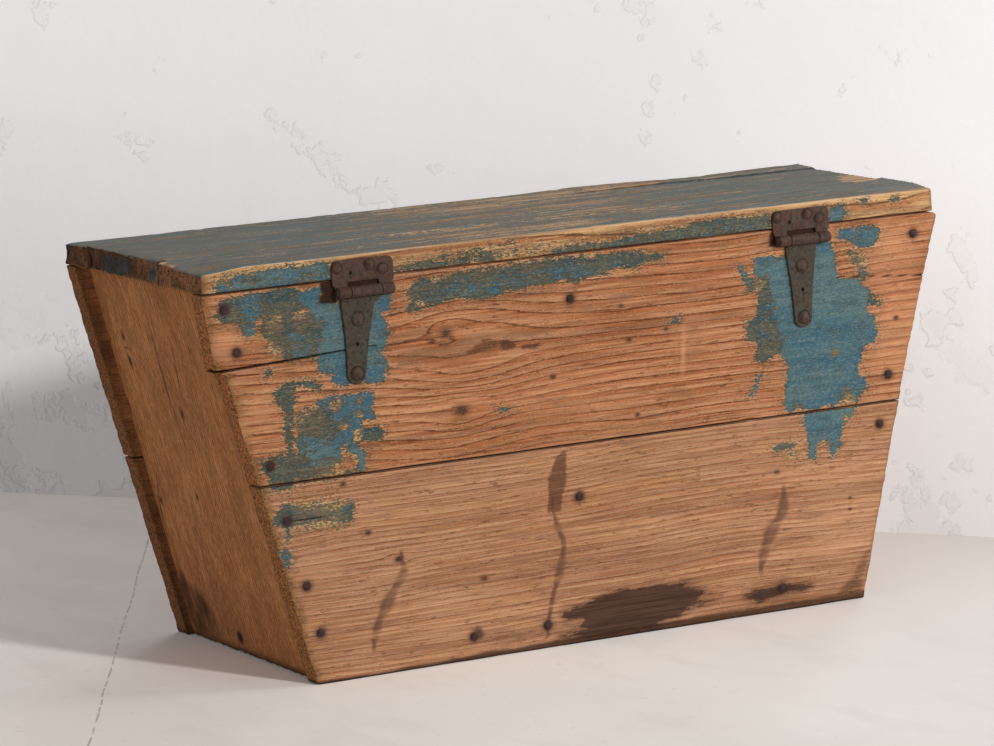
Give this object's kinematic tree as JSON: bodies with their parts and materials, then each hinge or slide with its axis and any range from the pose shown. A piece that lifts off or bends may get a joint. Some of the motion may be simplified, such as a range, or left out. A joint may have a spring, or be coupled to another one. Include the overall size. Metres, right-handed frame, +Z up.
{
  "type": "sea chest",
  "caption": "Slope-ended wooden sea chest with plank sides and a flat plank lid that swings open on iron tee hinges.",
  "frame": {"origin": "on the floor, under the middle of the whole chest", "axes": "+X along the length, +Y from the hinge side to the opening side, +Z up"},
  "size_m": [0.88, 0.3612, 0.4425],
  "materials": {
    "painted_side_wood": "weathered pine with worn blue paint",
    "bare_side_wood": "weathered bare pine, dark stains",
    "end_wood": "aged bare pine",
    "lid_wood": "worn grey-blue paint over pine",
    "inner_wood": "bare pine, dry",
    "nail_iron": "old rusted iron",
    "hinge_iron": "rust-brown iron",
    "strap_iron": "iron with remains of olive-brown paint",
    "pin_iron": "rusted iron, worn"
  },
  "bodies": {
    "box": {"hinge_side_upper_board": "painted_side_wood", "hinge_side_lower_board": "bare_side_wood", "opening_side_upper_board": "painted_side_wood", "opening_side_lower_board": "bare_side_wood", "left_end_board": "end_wood", "right_end_board": "end_wood", "bottom_board_hinge_side": "inner_wood", "bottom_board_opening_side": "inner_wood", "hinge_side_cleat": "inner_wood", "opening_side_cleat": "inner_wood", "hinge_side_nails": "nail_iron", "opening_side_nails": "nail_iron", "left_end_nails": "nail_iron", "right_end_nails": "nail_iron", "left_hinge_strap": "strap_iron", "left_hinge_strap_bolts": "hinge_iron", "right_hinge_strap": "strap_iron", "right_hinge_strap_bolts": "hinge_iron"},
    "lid": {"lid_hinge_side_board": "lid_wood", "lid_middle_board": "lid_wood", "lid_opening_side_strip": "lid_wood", "lid_left_batten": "inner_wood", "lid_right_batten": "inner_wood", "lid_batten_nails": "nail_iron", "left_hinge_lid_leaf": "hinge_iron", "left_hinge_lid_screws": "hinge_iron", "left_hinge_pin": "pin_iron", "right_hinge_lid_leaf": "hinge_iron", "right_hinge_lid_screws": "hinge_iron", "right_hinge_pin": "pin_iron"}
  },
  "joints": [
    {"name": "lid_hinge", "type": "hinge", "parent": "box", "child": "lid", "pos_m": [0, -0.17465, 0.403], "axis": [1, 0, 0], "range_deg": [0, 187]}
  ]
}
